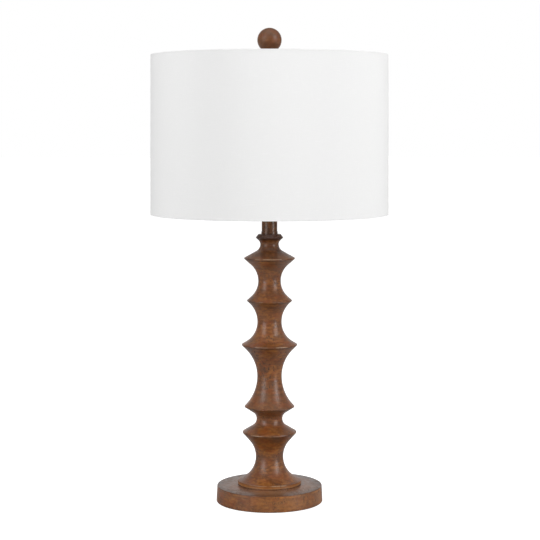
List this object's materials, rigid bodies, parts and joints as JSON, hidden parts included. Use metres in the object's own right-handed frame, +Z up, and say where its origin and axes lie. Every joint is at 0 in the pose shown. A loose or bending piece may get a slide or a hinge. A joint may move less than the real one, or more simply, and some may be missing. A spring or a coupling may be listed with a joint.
{
  "type": "table lamp",
  "caption": "Table lamp with a turned wood column of sharp flanges and coves on a round disc base, a linen drum shade on a wire harp and a ball finial.",
  "frame": {"origin": "centre of the underside of the felt pad, on the table top", "axes": "+Z up along the column and the harp, -Y to the front where the switch knob points, +Y to the rear where the cord inlet is"},
  "size_m": [0.3807, 0.3808, 0.761],
  "materials": {
    "turned_wood": "semi-gloss walnut-brown stain, darker in the creases",
    "neck_stain": "glossy dark brown stain finish",
    "iron": "rough casting",
    "felt": "dark felt",
    "bush_plastic": "dark brown moulded plastic",
    "zinc_steel": "zinc plated",
    "bronze_metal": "dark bronze finish",
    "brass_casing": "satin brass",
    "contact_brass": "bright brass",
    "insulator_card": "waxed card",
    "socket_plastic": "black moulding",
    "knob_plastic": "black moulding",
    "linen": "off-white fine linen",
    "linen_trim": "off-white fine linen, folded",
    "liner_plastic": "translucent white sheet",
    "white_wire": "white enamel",
    "bulb_glass": "frosted",
    "clear_glass": "clear",
    "bulb_metal": "bright rolled thread",
    "bulb_black": "black glass insulator",
    "bulb_solder": "tinned",
    "filament_wire": "drawn wire"
  },
  "bodies": {
    "lamp": {"base_disc": "turned_wood", "base_weight": "iron", "felt_pad": "felt", "cord_bush": "bush_plastic", "threaded_rod": "zinc_steel", "bottom_washer": "zinc_steel", "bottom_nut": "zinc_steel", "column": "turned_wood", "neck_ring": "neck_stain", "neck_tube": "neck_stain", "neck_cap": "bronze_metal", "harp_saddle": "bronze_metal", "saddle_nut": "zinc_steel", "socket_cap": "brass_casing", "set_screw": "zinc_steel", "socket_shell": "brass_casing", "socket_insulator": "insulator_card", "socket_body": "socket_plastic", "terminal_screws": "contact_brass", "screw_shell": "contact_brass", "centre_contact": "contact_brass"},
    "switch": {"switch_stem": "zinc_steel", "switch_knob": "knob_plastic"},
    "harp": {"harp_wire": "bronze_metal"},
    "sleeve_left": {"harp_sleeve_left": "bronze_metal"},
    "sleeve_right": {"harp_sleeve_right": "bronze_metal"},
    "stud": {"harp_stud": "brass_casing"},
    "shade": {"shade_liner": "liner_plastic", "shade_fabric": "linen", "shade_hem_top": "linen_trim", "shade_hem_bottom": "linen_trim", "shade_ring_top": "white_wire", "shade_ring_bottom": "white_wire", "spider": "white_wire", "spider_washer": "white_wire"},
    "finial": {"finial_ball": "turned_wood", "finial_insert": "brass_casing"},
    "bulb": {"bulb_glass": "bulb_glass", "bulb_cap": "bulb_metal", "bulb_insulator": "bulb_black", "bulb_contact": "bulb_solder", "bulb_stem": "clear_glass", "bulb_filament": "filament_wire"}
  },
  "joints": [
    {"name": "switch_turn", "type": "hinge", "parent": "lamp", "child": "switch", "pos_m": [0, -0.019, 0.491], "axis": [0, -1, 0], "continuous": true},
    {"name": "harp_lift", "type": "slide", "parent": "lamp", "child": "harp", "axis": [0, 0, 1], "range_m": [0, 0.04]},
    {"name": "sleeve_left_slide", "type": "slide", "parent": "harp", "child": "sleeve_left", "axis": [0, 0, 1], "range_m": [0, 0.01]},
    {"name": "sleeve_right_slide", "type": "slide", "parent": "harp", "child": "sleeve_right", "axis": [0, 0, 1], "range_m": [0, 0.01]},
    {"name": "shade_turn", "type": "hinge", "parent": "harp", "child": "stud", "pos_m": [0, 0, 0.7], "axis": [0, 0, 1], "continuous": true},
    {"name": "shade_lift", "type": "slide", "parent": "stud", "child": "shade", "axis": [0, 0, 1], "range_m": [0, 0.26]},
    {"name": "finial_lift", "type": "slide", "parent": "shade", "child": "finial", "axis": [0, 0, 1], "range_m": [0, 0.03]},
    {"name": "bulb_lift", "type": "slide", "parent": "lamp", "child": "bulb", "axis": [0, 0, 1], "range_m": [0, 0.027]}
  ]
}
